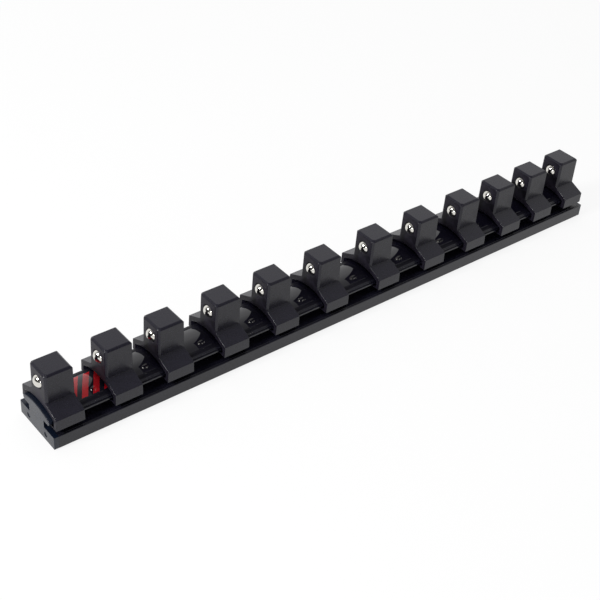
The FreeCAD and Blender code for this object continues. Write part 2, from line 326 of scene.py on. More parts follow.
@dataclass(frozen=True)
class AnodisedExtrusion(Finish):
    """Black anodised extrusion with die lines along its length."""

    lines: Pattern = Pattern(1 / 0.22, detail=3.0, factors=(0.004, 1.0, 1.0))
    line_range: Point2 = (0.3, 0.7)
    line_strength: float = 0.3
    line_depth_mm: float = 0.006
    cloud: Pattern = Pattern(0.12, detail=3.0, factors=(0.3, 1.0, 1.0))
    cloud_range: Point2 = (0.35, 0.65)
    dye_spread: float = 0.15
    gloss_spread: float = 0.05

    def paint(self, graph: NodeGraph, shader: bpy.types.Node) -> None:
        """Adds die lines along X and a faint cloudiness of the dye.

        Args:
            graph: The material's graph.
            shader: Its shader node.
        """
        place = graph.object_mm()
        lines = graph.noise(place, self.lines)
        dye = graph.remap(graph.noise(place, self.cloud), self.cloud_range)
        colour = graph.colour_between(dye, self.shade(1 - self.dye_spread), self.shade(1 + self.dye_spread))
        gloss = graph.remap(lines, self.line_range, self.gloss_range(self.gloss_spread, self.gloss_spread))
        normal = graph.bump(lines, self.line_strength, self.line_depth_mm)
        self.set_inputs(graph, shader, Base_Color=colour, Roughness=gloss, Normal=normal)


@dataclass(frozen=True)
class GlossPrint(Finish):
    """Mirror-gloss black strip with a run of plain slanted bars printed under the gloss."""

    ink: Point3 = (0.42, 0.004, 0.010)
    first_bar_mm: float = -149.0
    bar_pitch_mm: float = 5.2
    bar_share: float = 0.56
    bar_count: int = 7
    bar_slant: float = 0.62
    band_half_width_mm: float = 6.4
    edge_mm: float = 0.06
    ripple: Pattern = Pattern(0.35, detail=1.0, factors=(0.4, 1.0, 1.0))
    ripple_strength: float = 0.12
    ripple_depth_mm: float = 0.02
    smears: Pattern = Pattern(0.5, detail=4.0, factors=(0.5, 1.4, 1.0))
    smear_range: Point2 = (0.4, 0.75)
    smear_dulling: float = 0.05

    def inked(self, graph: NodeGraph, place: Socket) -> Socket:
        """Adds the mask of the bars.

        Args:
            graph: The material's graph.
            place: Object coordinates in millimetres.

        Returns:
            The mask: 1 on the bars and 0 elsewhere.
        """
        axes = graph.add("SeparateXYZ", {"Vector": place})
        slant = graph.math("MULTIPLY", axes.outputs["Y"], self.bar_slant)
        slanted = graph.math("SUBTRACT", axes.outputs["X"], slant)
        along = graph.math("DIVIDE", graph.math("SUBTRACT", slanted, self.first_bar_mm), self.bar_pitch_mm)
        soft = self.edge_mm / self.bar_pitch_mm
        within = graph.math("ABSOLUTE", graph.math("SUBTRACT", graph.math("FRACT", along), 0.5))
        bar = graph.remap(within, (self.bar_share / 2 + soft, self.bar_share / 2 - soft))
        started = graph.math("GREATER_THAN", along, 0.0)
        ended = graph.math("LESS_THAN", along, float(self.bar_count))
        across = graph.math("ABSOLUTE", axes.outputs["Y"])
        edge = self.band_half_width_mm
        band = graph.remap(across, (edge + self.edge_mm, edge - self.edge_mm))
        run = graph.math("MULTIPLY", started, ended)
        return graph.math("MULTIPLY", graph.math("MULTIPLY", bar, band), run)

    def paint(self, graph: NodeGraph, shader: bpy.types.Node) -> None:
        """Adds the ink, under a smooth film with a very slight waviness.

        Args:
            graph: The material's graph.
            shader: Its shader node.
        """
        place = graph.object_mm()
        colour = graph.colour_between(self.inked(graph, place), self.colour, self.ink)
        ripple = graph.noise(place, self.ripple)
        smears = graph.noise(place, self.smears)
        gloss = graph.remap(smears, self.smear_range, self.gloss_range(0.0, self.smear_dulling))
        normal = graph.bump(ripple, self.ripple_strength, self.ripple_depth_mm)
        self.set_inputs(graph, shader, Base_Color=colour, Roughness=gloss, Normal=normal)


@dataclass(frozen=True)
class PolishedSteel(Finish):
    """Bright steel with hairline scratches."""

    hairs: Pattern = Pattern(1 / 0.12, detail=4.0, factors=(1.0, 0.15, 1.0))
    hair_range: Point2 = (0.45, 0.75)
    hair_dulling: float = 0.08
    hair_strength: float = 0.05
    hair_depth_mm: float = 0.002
    haze: Pattern = Pattern(0.8, detail=3.0)
    darkest: float = 0.94
    lightest: float = 1.04

    def paint(self, graph: NodeGraph, shader: bpy.types.Node) -> None:
        """Adds a polish that scratches break up a little.

        Args:
            graph: The material's graph.
            shader: Its shader node.
        """
        place = graph.object_mm()
        hairs = graph.noise(place, self.hairs)
        haze = graph.noise(place, self.haze)
        colour = graph.colour_between(haze, self.shade(self.darkest), self.shade(self.lightest))
        gloss = graph.remap(hairs, self.hair_range, self.gloss_range(0.0, self.hair_dulling))
        normal = graph.bump(hairs, self.hair_strength, self.hair_depth_mm)
        self.set_inputs(graph, shader, Base_Color=colour, Roughness=gloss, Normal=normal)


@dataclass(frozen=True)
class Finishes:
    """All finishes of the object."""

    rail: Finish = AnodisedExtrusion("anodised_black", (0.0070, 0.0068, 0.0125), 0.22)
    crown_edge: Finish = AnodisedExtrusion("crown_edge_matt", (0.0040, 0.0036, 0.0075), 0.42, specular=0.16)
    crown: Finish = GlossPrint("gloss_strip", (0.0045, 0.0040, 0.0095), 0.012, specular=0.6)
    cap: Finish = MouldedPlastic("cap_plastic_smooth", (0.0045, 0.0080, 0.0180), 0.26, grain_mm=0.4)
    clip: Finish = MouldedPlastic("clip_plastic_satin", (0.0068, 0.0060, 0.0130), 0.27, specular=0.44,
                                  flow_depth_mm=0.04)
    # The clip's end faces: the same plastic as its other faces with a real grain, and a lighter base colour
    # that is painted light on those faces.
    clip_ends_grain_and_painted_light: Finish = MouldedPlastic("clip_plastic_grained", (0.0115, 0.0100, 0.0160), 0.36, specular=0.14,
                                       grain_mm=0.60, grain_depth_mm=0.05, grain_strength=0.9, dust=0.9)
    ball: Finish = PolishedSteel("ball_polished", (0.78, 0.76, 0.71), 0.06, metallic=1.0)
    spring: Finish = PolishedSteel("spring_wire", (0.50, 0.50, 0.50), 0.28, metallic=1.0)


# ---------------------------------------------------------------- outlines and meshes


@dataclass(frozen=True)
class Corner:
    """Corner of an outline in a plane across the rail, in millimetres."""

    y: float
    z: float
    radius: float = 0.0


def arc_height(y: float, radius: float, centre_z: float) -> float:
    """Height of an arc about the rail's middle plane at a distance y from it."""
    return centre_z + math.sqrt(radius * radius - y * y)


def arc_points(half_width: float, radius: float, centre_z: float, steps: int) -> list[Point2]:
    """Points of an arc over the middle plane.

    Args:
        half_width: How far the arc reaches on each side.
        radius: The arc's radius.
        centre_z: Height of its centre.
        steps: Straight pieces along it.

    Returns:
        The points as (y, z), from +half_width to -half_width.
    """
    limit = math.asin(half_width / radius)
    angles = [limit - 2 * limit * i / steps for i in range(steps + 1)]
    return [(radius * math.sin(a), centre_z + radius * math.cos(a)) for a in angles]


def rounded(corners: Sequence[Corner], steps: int = 4) -> list[Point2]:
    """Points along an open row of corners, each rounded by its own radius.

    Args:
        corners: The corners in order; the first and the last stay sharp.
        steps: Straight pieces in each rounding.

    Returns:
        The outline's points as (y, z).
    """
    points: list[Point2] = [(corners[0].y, corners[0].z)]
    for before, corner, after in zip(corners, corners[1:], corners[2:]):
        here = Vector((corner.y, corner.z))
        if corner.radius <= 0:
            points.append((here.x, here.y))
            continue
        towards = (Vector((before.y, before.z)) - here).normalized()
        away = (Vector((after.y, after.z)) - here).normalized()
        half = towards.angle(away) / 2
        reach = corner.radius / math.tan(half)
        centre = here + (towards + away).normalized() * corner.radius / math.sin(half)
        start = here + towards * reach - centre
        end = here + away * reach - centre
        turn = start.angle_signed(end)
        for i in range(steps + 1):
            spoke = start.copy()
            spoke.rotate(Matrix.Rotation(-turn * i / steps, 2))
            points.append((centre.x + spoke.x, centre.y + spoke.y))
    points.append((corners[-1].y, corners[-1].z))
    return points


def mirrored_loop(side: Sequence[Point2], top: Sequence[Point2] = ()) -> list[Point2]:
    """Closed outline from points up the +Y side, then across the top, then down the -Y side."""
    return [*side, *top, *((-y, z) for y, z in reversed(side))]


@dataclass
class MeshParts:
    """Vertices and faces that grow into one mesh, in millimetres."""

    vertices: list[Point3] = field(default_factory=list)
    faces: list[tuple[int, ...]] = field(default_factory=list)
    materials: list[int] = field(default_factory=list)

    def point(self, x: float, y: float, z: float) -> int:
        """Adds a vertex and returns its number."""
        self.vertices.append((x, y, z))
        return len(self.vertices) - 1

    def ring(self, x: float | Callable[[float], float], outline: Iterable[Point2]) -> list[int]:
        """Adds an outline's points at x, or at x as a function of their height."""
        return [self.point(x(z) if callable(x) else x, y, z) for y, z in outline]

    def face(self, *numbers: int, material: int = 0) -> None:
        """Adds one face."""
        self.faces.append(tuple(numbers))
        self.materials.append(material)

    def bridge(self, first: Sequence[int], second: Sequence[int], closed: bool = True) -> None:
        """Adds the quads between two rings of the same length.

        Args:
            first: Vertices of one ring, in order.
            second: Vertices of the other.
            closed: Whether the rings' last points join their first.
        """
        count = len(first)
        for i in range(count if closed else count - 1):
            j = (i + 1) % count
            self.face(first[i], first[j], second[j], second[i])

    def tube(self, rings: Sequence[Sequence[int]]) -> None:
        """Joins each ring to the next and closes both ends.

        Args:
            rings: Vertices of each ring, all rings of the same length.
        """
        for first, second in zip(rings, rings[1:]):
            self.bridge(first, second)
        self.face(*rings[0])
        self.face(*rings[-1])

    def plate(self, rings: Sequence[Sequence[int]], material: int = 0) -> None:
        """Fills a flat outline that may have holes.

        Args:
            rings: Vertices of the outline, then those of each hole.
            material: Material number of its faces.
        """
        loops = [[Vector(self.vertices[n]) for n in ring] for ring in rings]
        numbers = [n for ring in rings for n in ring]
        for triangle in tessellate_polygon(loops):
            self.face(*(numbers[i] for i in triangle), material=material)

    def mesh(self, name: str, weld_mm: float = 1e-5) -> bpy.types.Mesh:
        """Makes the mesh, welded and with outward faces.

        Args:
            name: The mesh's name.
            weld_mm: Points nearer than this become one.

        Returns:
            The mesh in metres, with an empty slot for each of its materials.
        """
        mesh = bpy.data.meshes.new(name)
        mesh.from_pydata([Vector(v) * MM for v in self.vertices], [], self.faces)
        mesh.polygons.foreach_set("material_index", self.materials)
        for _ in range(max(self.materials) + 1):
            mesh.materials.append(None)
        work = bmesh.new()
        work.from_mesh(mesh)
        bmesh.ops.remove_doubles(work, verts=work.verts, dist=weld_mm * MM)
        bmesh.ops.recalc_face_normals(work, faces=work.faces)
        work.to_mesh(mesh)
        work.free()
        return mesh


def new_object(name: str, data: bpy.types.ID) -> bpy.types.Object:
    """Puts a mesh, light or camera in the scene.

    Args:
        name: The new object's name.
        data: Its mesh, light or camera data.

    Returns:
        The object.
    """
    thing = bpy.data.objects.new(name, data)
    bpy.context.scene.collection.objects.link(thing)
    return thing


def shade_smooth(mesh: bpy.types.Mesh) -> None:
    """Shades every face of a mesh smooth."""
    mesh.polygons.foreach_set("use_smooth", [True] * len(mesh.polygons))


def smooth_by_area(thing: bpy.types.Object, weight: int = 100) -> None:
    """Shades smooth, with the large faces deciding the normals of the roundings.

    Args:
        thing: The object to shade.
        weight: How strongly they decide, in percent.
    """
    shade_smooth(thing.data)
    weighted = thing.modifiers.new("even_faces", "WEIGHTED_NORMAL")
    weighted.mode = "FACE_AREA"
    weighted.weight = weight


def soften(thing: bpy.types.Object, width_mm: float, angle_deg: float = 28.0, steps: int = 3) -> None:
    """Rounds an object's edges.

    Args:
        thing: The object.
        width_mm: Width of each rounding.
        angle_deg: Edges that turn by less stay as they are.
        steps: Facets across a rounding.
    """
    rounding = thing.modifiers.new("edge_rounding", "BEVEL")
    rounding.width = width_mm * MM
    rounding.segments = steps
    rounding.limit_method = "ANGLE"
    rounding.angle_limit = math.radians(angle_deg)
    rounding.miter_outer = "MITER_ARC"


def baked(thing: bpy.types.Object, name: str) -> bpy.types.Mesh:
    """Applies an object's modifiers and removes the object.

    Args:
        thing: The object.
        name: A name for the mesh that is left.

    Returns:
        The mesh with its modifiers applied.
    """
    depsgraph = bpy.context.evaluated_depsgraph_get()
    depsgraph.update()
    mesh = bpy.data.meshes.new_from_object(thing.evaluated_get(depsgraph), preserve_all_data_layers=True,
                                           depsgraph=depsgraph)
    mesh.name = name
    bpy.data.objects.remove(thing)
    return mesh


def lathe_along_x(profile: Sequence[Point2], centre: Point3, steps: int = 48) -> MeshParts:
    """Closed solid of revolution about an axis along X.

    Args:
        profile: Points as (x, radius); a radius of 0 closes an end.
        centre: Where the profile's x of 0 and its axis lie.
        steps: Facets round the axis.

    Returns:
        The solid's vertices and faces.
    """
    parts = MeshParts()
    angles = [2 * math.pi * i / steps for i in range(steps)]
    rings = []
    for x, radius in profile:
        circle = [(centre[1] + radius * math.cos(a), centre[2] + radius * math.sin(a)) for a in angles]
        rings.append(parts.ring(centre[0] + x, circle))
    parts.tube(rings)
    return parts


def extrusion(loops: Sequence[Sequence[Point2]], half_length: float) -> MeshParts:
    """Straight bar along X.

    Args:
        loops: Its closed outline as (y, z), then those of its hollows.
        half_length: Half of its length.

    Returns:
        The bar's vertices and faces.
    """
    parts = MeshParts()
    ends = [[parts.ring(x, loop) for loop in loops] for x in (-half_length, half_length)]
    for first, second in zip(*ends):
        parts.bridge(first, second)
    for rings in ends:
        parts.plate(rings)
    return parts


def dress(thing: bpy.types.Object, slot: Slot, *finishes: Finish) -> None:
    """Gives a piece its finishes.

    Args:
        thing: The piece.
        slot: The record's slot that it belongs to; not used.
        finishes: Its finishes, in the order of its material numbers.
    """
    materials = thing.data.materials
    for i, finish in enumerate(finishes):
        if i < len(materials):
            materials[i] = finish.material()
        else:
            materials.append(finish.material())


# ---------------------------------------------------------------- the rail


@dataclass
class Section:
    """Sizes across the rail that the rail, its strip and the clips share, in millimetres."""

    base_width: float
    crown_top: float
    base_height: float = 6.35
    neck_width: float = 11.8
    neck_height: float = 3.6
    head_width: float = 21.0
    crown_radius: float = 24.8
    lip_undercut: float = 0.75
    lip_face: float = 0.85
    groove_height: float = 0.35
    groove_depth: float = 0.55
    edge_step: float = 0.3
    edge_bevel: float = 0.45
    strip_width: float = 16.4
    strip_thickness: float = 0.3

    @property
    def head_underside(self) -> float:
        """Height of the head's underside."""
        return self.base_height + self.neck_height

    @property
    def crown_centre(self) -> float:
        """Height of the crown's centre of curvature."""
        return self.crown_top - self.crown_radius

    @property
    def seat_radius(self) -> float:
        """Radius of the strip's seat."""
        return self.crown_radius - self.strip_thickness

    def crown_height(self, y: float) -> float:
        """Height of the crown at a distance y from the middle."""
        return arc_height(y, self.crown_radius, self.crown_centre)

    @property
    def lip_top(self) -> float:
        """Height where the head's lip ends and its groove starts."""
        return self.head_underside + self.lip_undercut + self.lip_face


@dataclass
class Rail:
    """The extrusion: flat base, neck, arched head with grooved edges, and three hollows."""

    section: Section
    half_length: float
    foot_bevel: float = 0.3
    edge_round: float = 0.3
    inner_round: float = 0.35
    fine_round: float = 0.12
    bead_inset: float = 1.05
    bead_radius: float = 0.18
    bead_steps: int = 6
    wall: float = 1.7
    hollow_round: float = 0.6
    land_edge: float = 9.05
    land_step: float = 0.1
    line_from_edge: float = 0.35
    line_width: float = 0.16
    line_depth: float = 0.12
    end_facing: float = 0.5
    arc_steps: int = 28

    def shoulder(self, crown_y: float, strip: float) -> list[Corner]:
        """Crown beside the strip, from its edge inward: a fine line, a small step up and a matt land.

        Args:
            crown_y: Where the crown ends.
            strip: Where the strip's seat starts.

        Returns:
            Corners from the crown's edge to the strip's seat.
        """
        s = self.section
        line = crown_y - self.line_from_edge

        def on_crown(y: float, below: float = 0.0) -> float:
            """Height at a distance y from the middle, and so far below the crown."""
            return s.crown_height(y) - below

        return [
            Corner(crown_y, on_crown(crown_y, self.land_step), self.edge_round),
            Corner(line + self.line_width / 2, on_crown(line, self.land_step)),
            Corner(line, on_crown(line, self.land_step + self.line_depth)),
            Corner(line - self.line_width / 2, on_crown(line, self.land_step)),
            Corner(self.land_edge, on_crown(self.land_edge, self.land_step)),
            Corner(self.land_edge, on_crown(self.land_edge), self.land_step / 2),
            Corner((strip + self.land_edge) / 2, on_crown((strip + self.land_edge) / 2)),
            Corner(strip, on_crown(strip), self.fine_round / 2),
        ]

    def dull_lands(self, mesh: bpy.types.Mesh) -> None:
        """Gives the matt lands beside the strip the second material.

        Args:
            mesh: The rail's mesh. Faces that look along X more than end_facing are its ends.
        """
        s = self.section
        lowest = s.crown_height(self.land_edge) - self.land_step
        for face in mesh.polygons:
            beside = s.strip_width / 2 < abs(face.center.y) / MM < self.land_edge
            if beside and face.center.z / MM > lowest and abs(face.normal.x) < self.end_facing:
                face.material_index = 1

    def bead(self) -> list[Corner]:
        """Half-round bead along the base's top.

        Returns:
            Its corners, from the outside inward.
        """
        s = self.section
        angles = [math.pi * i / self.bead_steps for i in range(self.bead_steps + 1)]
        middle = s.base_width / 2 - self.bead_inset
        bead = [(math.cos(a) * self.bead_radius, math.sin(a) * self.bead_radius) for a in angles]
        return [Corner(middle + y, s.base_height + z) for y, z in bead]

    def side(self) -> list[Point2]:
        """Outline of the +Y side.

        Returns:
            Points as (y, z), from the foot up to the seat of the crown strip.
        """
        s = self.section
        half = s.base_width / 2
        neck = s.neck_width / 2
        head = s.head_width / 2
        groove_y = head - s.groove_depth
        groove_top = s.lip_top + s.groove_height
        edge_y = groove_y + s.edge_step
        crown_y = edge_y - s.edge_bevel
        strip = s.strip_width / 2
        # The first corner only gives the foot its direction and is left out at the end.
        corners = [
            Corner(0, 0),
            Corner(half - self.foot_bevel, 0, self.edge_round),
            Corner(half, self.foot_bevel, self.edge_round),
            Corner(half, s.base_height, self.edge_round),
            *self.bead(),
            Corner(neck, s.base_height, self.inner_round),
            Corner(neck, s.head_underside, self.inner_round),
            Corner(head - s.lip_undercut, s.head_underside, self.fine_round),
            Corner(head, s.lip_top - s.lip_face, self.fine_round),
            Corner(head, s.lip_top, self.fine_round),
            Corner(groove_y, s.lip_top, self.fine_round),
            Corner(groove_y, groove_top, self.fine_round),
            Corner(edge_y, groove_top, self.fine_round),
            *self.shoulder(crown_y, strip),
            Corner(strip, arc_height(strip, s.seat_radius, s.crown_centre)),
        ]
        return rounded(corners)[1:]

    def hollows(self) -> list[list[Point2]]:
        """Outlines of the three hollows.

        Returns:
            One closed outline for the neck and one for each side of the base.
        """
        s = self.section
        half = s.base_width / 2
        middle = s.neck_width / 2 - self.wall
        roof = s.crown_height(middle) - s.strip_thickness - self.wall
        inner = s.neck_width / 2 + self.wall / 2
        outer = half - self.wall
        lid = s.base_height - self.wall
        boxes = [(-middle, middle, roof), (inner, outer, lid), (-outer, -inner, lid)]
        return [self.box_outline(low, high, self.wall, top) for low, high, top in boxes]

    def box_outline(self, low_y: float, high_y: float, low_z: float, high_z: float) -> list[Point2]:
        """Outline of a box with rounded corners.

        Args:
            low_y: Its side towards -Y.
            high_y: Its side towards +Y.
            low_z: Its bottom.
            high_z: Its top.

        Returns:
            The closed outline as (y, z).
        """
        r = self.hollow_round
        middle = (low_y + high_y) / 2
        loop = [Corner(middle, low_z), Corner(high_y, low_z, r), Corner(high_y, high_z, r),
                Corner(low_y, high_z, r), Corner(low_y, low_z, r), Corner(middle, low_z)]
        return rounded(loop)[:-1]

    def build(self) -> bpy.types.Object:
        """Builds the extrusion with open hollows.

        Returns:
            The rail, not yet dressed.
        """
        s = self.section
        seat = arc_points(s.strip_width / 2, s.seat_radius, s.crown_centre, self.arc_steps)
        loops = [mirrored_loop(self.side(), seat[1:-1]), *self.hollows()]
        rail = new_object("rail_extrusion", extrusion(loops, self.half_length).mesh("rail_extrusion"))
        self.dull_lands(rail.data)
        smooth_by_area(rail)
        return rail


@dataclass
class CrownStrip:
    """Thin domed strip that lies in the crown's seat: glossy, with a matt border on each side."""

    section: Section
    half_length: float
    gloss_half_width: float = 6.95
    gloss_radius: float = 20.2
    border_drop: float = 0.03
    side_gap: float = 0.02
    gloss_steps: int = 40
    border_steps: int = 3

    def border(self, half: float) -> list[Point2]:
        """Matt border on the +Y side.

        Args:
            half: Half of the strip's width.

        Returns:
            Points as (y, z), from the strip's edge to the foot of the gloss.
        """
        s = self.section
        outer = s.crown_height(half)
        gloss_foot = arc_height(self.gloss_half_width, self.gloss_radius, s.crown_top - self.gloss_radius)
        inner = gloss_foot - self.border_drop
        shares = [i / self.border_steps for i in range(self.border_steps + 1)]
        return [(half + (self.gloss_half_width - half) * t, outer + (inner - outer) * t) for t in shares]

    def build(self) -> bpy.types.Object:
        """Builds the strip as a slim curved bar.

        Returns:
            The strip, not yet dressed.
        """
        s = self.section
        half = s.strip_width / 2 - self.side_gap
        dome = arc_points(self.gloss_half_width, self.gloss_radius, s.crown_top - self.gloss_radius,
                          self.gloss_steps)
        near_border = self.border(half)
        far_border = [(-y, z) for y, z in reversed(near_border)]
        under = arc_points(half, s.seat_radius + self.side_gap, s.crown_centre, self.gloss_steps)
        outline = [*near_border, *dome, *far_border, *reversed(under)]
        bar = extrusion([outline], self.half_length)
        strip = new_object("crown_gloss_strip", bar.mesh("crown_gloss_strip"))
        for face in strip.data.polygons:
            if abs(face.center.y) / MM > self.gloss_half_width - self.side_gap:
                face.material_index = 1
        smooth_by_area(strip)
        return strip


# ---------------------------------------------------------------- the clips


@dataclass
class DriveClip:
    """Moulded clip: a saddle that hooks under the rail's head, and a square drive post."""

    section: Section
    top: float
    length: float = 13.2
    end_taper: float = 0.25
    clearance: float = 0.25
    leg_wall: float = 3.0
    skirt_rise: float = 2.65
    leg_height: float = 5.45
    crown_wall: float = 3.15
    hook_reach: float = 2.45
    mouth_bevel: float = 1.1
    post_taper: float = 0.1
    drive_square: float = 12.7
    corner_bevel: float = 0.95
    top_bevel: float = 0.8
    edge_round: float = 0.2
    weld: float = 0.001
    bore_round: float = 0.05
    bore_edge_angle: float = 40.0
    ball_radius: float = 3.175
    ball_protrusion: float = 1.65
    ball_height: float = 7.7
    ball_clearance: float = 0.1
    recess_depth: float = 0.3
    recess_margin: float = 0.5
    lip_length: float = 0.3
    lip_clearance: float = 0.06
    end_wall: float = 2.0
    cutter_start: float = 1.0
    arc_steps: int = 28

    @property
    def bottom(self) -> float:
        """Height of the legs' lower faces."""
        return self.section.base_height + self.skirt_rise

    @property
    def foot(self) -> float:
        """Height of the post's foot."""
        return self.section.crown_top + self.clearance + self.crown_wall

    @property
    def ball_z(self) -> float:
        """Height of the ball's centre."""
        return self.foot + self.ball_height

    def post_half(self, z: float) -> float:
        """Half the post's width at a height."""
        return self.drive_square / 2 - self.post_taper * (z - self.foot) / (self.top - self.foot)

    @property
    def ball_x(self) -> float:
        """Place of the ball's centre from the clip's middle."""
        return -self.post_half(self.ball_z) - self.ball_protrusion + self.ball_radius

    def end_x(self, sign: int) -> Callable[[float], float]:
        """Place of an end face as a function of height: the ends lean in by the taper."""
        rise = self.foot - self.bottom
        return lambda z: sign * (self.length / 2 - self.end_taper * (z - self.bottom) / rise)

    def mouth(self, grow: float) -> list[Point2]:
        """Opening above the hooks.

        Args:
            grow: How much wider and higher it is than the fit on the rail.

        Returns:
            Points as (y, z), from +Y over the crown to -Y.
        """
        s = self.section
        half = s.head_width / 2 + self.clearance + grow
        low = s.head_underside - self.clearance
        arc = arc_points(half, s.crown_radius + self.clearance + grow, s.crown_centre, self.arc_steps)
        return [(half, low), *arc, (-half, low)]

    def outside(self, flat_ends: bool) -> list[Point2]:
        """Outer line of the saddle from the -Y hook's tip round the shoulders to the +Y hook's tip.

        Args:
            flat_ends: Whether the line also has the ends of the post's flat face.

        Returns:
            The outline's points as (y, z).
        """
        s = self.section
        half_mouth = s.head_width / 2 + self.clearance
        tip = half_mouth - self.hook_reach
        leg = half_mouth + self.leg_wall
        leg_top = self.bottom + self.leg_height
        post = self.drive_square / 2
        hook_top = s.head_underside - self.clearance
        side = [(tip, hook_top), (tip, self.bottom), (leg, self.bottom), (leg, leg_top), (post, self.foot)]
        if flat_ends:
            side.append((post - self.corner_bevel, self.foot))
        return mirrored_loop(side)[::-1]

    def post_ring(self, parts: MeshParts, half: float, bevel: float, z: float) -> list[int]:
        """Adds the corners of a square with bevelled corners on the ball's side.

        Args:
            parts: The clip's vertices and faces.
            half: Half of the square's width.
            bevel: Width of each bevel along both sides.
            z: Height of the square.

        Returns:
            The vertices, in order round Z.
        """
        c = half - bevel
        corners = [(half, -half), (half, half), (-c, half), (-half, c), (-half, -c), (-c, -half)]
        return [parts.point(x, y, z) for x, y in corners]

    def saddle(self, parts: MeshParts) -> None:
        """Adds the saddle: its outside, its opening with flared mouths, and its end faces.

        Args:
            parts: The clip's vertices and faces.
        """
        stations = []
        for sign in (-1, 1):
            outside = self.outside(flat_ends=sign < 0)
            end = self.end_x(sign)
            inner_x = sign * (self.length / 2 - self.mouth_bevel)
            stations.append((parts.ring(end, outside), parts.ring(end, self.mouth(self.mouth_bevel)),
                             parts.ring(inner_x, self.mouth(0.0))))
        (near_out, near_mouth, near_inner), (far_out, far_mouth, far_inner) = stations
        # On each side, edge 3 is the shoulder's slope, and its face has the post's corner as well.
        slope = 3
        for side in (-1, 1):
            near, far = near_out[::-side], far_out[::-side]
            for i in range(slope + 1):
                corner = [self.post_corner(parts, side)] if i == slope else []
                parts.face(near[i], near[i + 1], *corner, far[i + 1], far[i])
        parts.bridge(near_mouth, near_inner, closed=False)
        parts.bridge(near_inner, far_inner, closed=False)
        parts.bridge(far_inner, far_mouth, closed=False)
        for edge, tip in ((0, -1), (-1, 0)):
            parts.face(near_out[tip], near_mouth[edge], near_inner[edge], far_inner[edge], far_mouth[edge],
                       far_out[tip])
        # The end faces take the second finish, whose lighter colour is painted light.
        parts.plate([[*near_out, *near_mouth]], material=1)
        parts.plate([[*far_out, *far_mouth]], material=1)

    def post_corner(self, parts: MeshParts, side: int) -> int:
        """Adds the point where the post's bevelled corner meets a shoulder."""
        half = self.drive_square / 2
        return parts.point(self.corner_bevel - half, side * half, self.foot)

    def post(self, parts: MeshParts) -> None:
        """Adds the drive post on top of the saddle.

        Args:
            parts: The clip's vertices and faces.
        """
        rim_z = self.top - self.top_bevel
        rim_half = self.post_half(rim_z)
        foot_half = self.post_half(self.foot)
        foot = self.post_ring(parts, foot_half, self.corner_bevel, self.foot)
        rim = self.post_ring(parts, rim_half, self.corner_bevel, rim_z)
        top_bevel = self.corner_bevel * (1 - self.top_bevel / (2 * rim_half))
        top = self.post_ring(parts, rim_half - self.top_bevel, top_bevel, self.top)
        parts.bridge(foot, rim)
        # The post's back face and ball face take the second finish too, with its painted light.
        back_face, ball_face = 0, 3
        for i in (back_face, ball_face):
            parts.materials[i - len(foot)] = 1
        parts.bridge(rim, top)
        parts.face(*top)
        square = self.post_ring(parts, foot_half, 0.0, self.foot)
        for bevel in (2, 4):
            parts.face(foot[bevel], foot[bevel + 1], square[bevel])

    def bore_cutter(self) -> bpy.types.Object:
        """Makes the tool that cuts the ball's recess, lip and bore.

        Returns:
            The tool, in the clip's own place.
        """
        face = -self.post_half(self.ball_z)
        lip_start = face + self.recess_depth
        bore_start = lip_start + self.lip_length

        def ball_section(x: float) -> float:
            """Radius of the ball in the plane at x."""
            return math.sqrt(self.ball_radius ** 2 - (x - self.ball_x) ** 2)

        recess = ball_section(face) + self.recess_margin
        lip = ball_section(bore_start) + self.lip_clearance
        bore = self.ball_radius + self.ball_clearance
        end = self.post_half(self.ball_z) - self.end_wall
        flare = (recess - lip) / self.recess_depth
        outside = (face - self.cutter_start, recess + flare * self.cutter_start)
        profile = [outside, (lip_start, lip), (bore_start, lip), (bore_start, bore), (end, bore)]
        parts = lathe_along_x(profile, (0.0, 0.0, self.ball_z))
        return new_object("bore_cutter", parts.mesh("bore_cutter"))

    def build_mesh(self) -> bpy.types.Mesh:
        """Builds the clip about its own middle.

        Returns:
            One mesh that all clips share.
        """
        parts = MeshParts()
        self.saddle(parts)
        self.post(parts)
        clip = new_object("clip_pattern", parts.mesh("clip_pattern", weld_mm=self.weld))
        soften(clip, self.edge_round)
        cutter = self.bore_cutter()
        cut = clip.modifiers.new("ball_bore", "BOOLEAN")
        cut.operation = "DIFFERENCE"
        cut.solver = "EXACT"
        cut.object = cutter
        soften(clip, self.bore_round, angle_deg=self.bore_edge_angle)
        smooth_by_area(clip)
        mesh = baked(clip, "drive_clip")
        bpy.data.objects.remove(cutter)
        return mesh


@dataclass
class DetentBall:
    """Steel ball that stands out of the post's face."""

    clip: DriveClip
    steps: int = 40

    def build_mesh(self) -> bpy.types.Mesh:
        """Builds the ball about its clip's middle.

        Returns:
            One mesh that all balls share, with its poles on the axis of travel.
        """
        radius = self.clip.ball_radius
        angles = [math.pi * (i + 0.5) / self.steps for i in range(self.steps)]
        profile = [(-radius * math.cos(a), radius * math.sin(a)) for a in angles]
        parts = lathe_along_x(profile, (self.clip.ball_x, 0.0, self.clip.ball_z), 2 * self.steps)
        mesh = parts.mesh("detent_ball")
        shade_smooth(mesh)
        return mesh


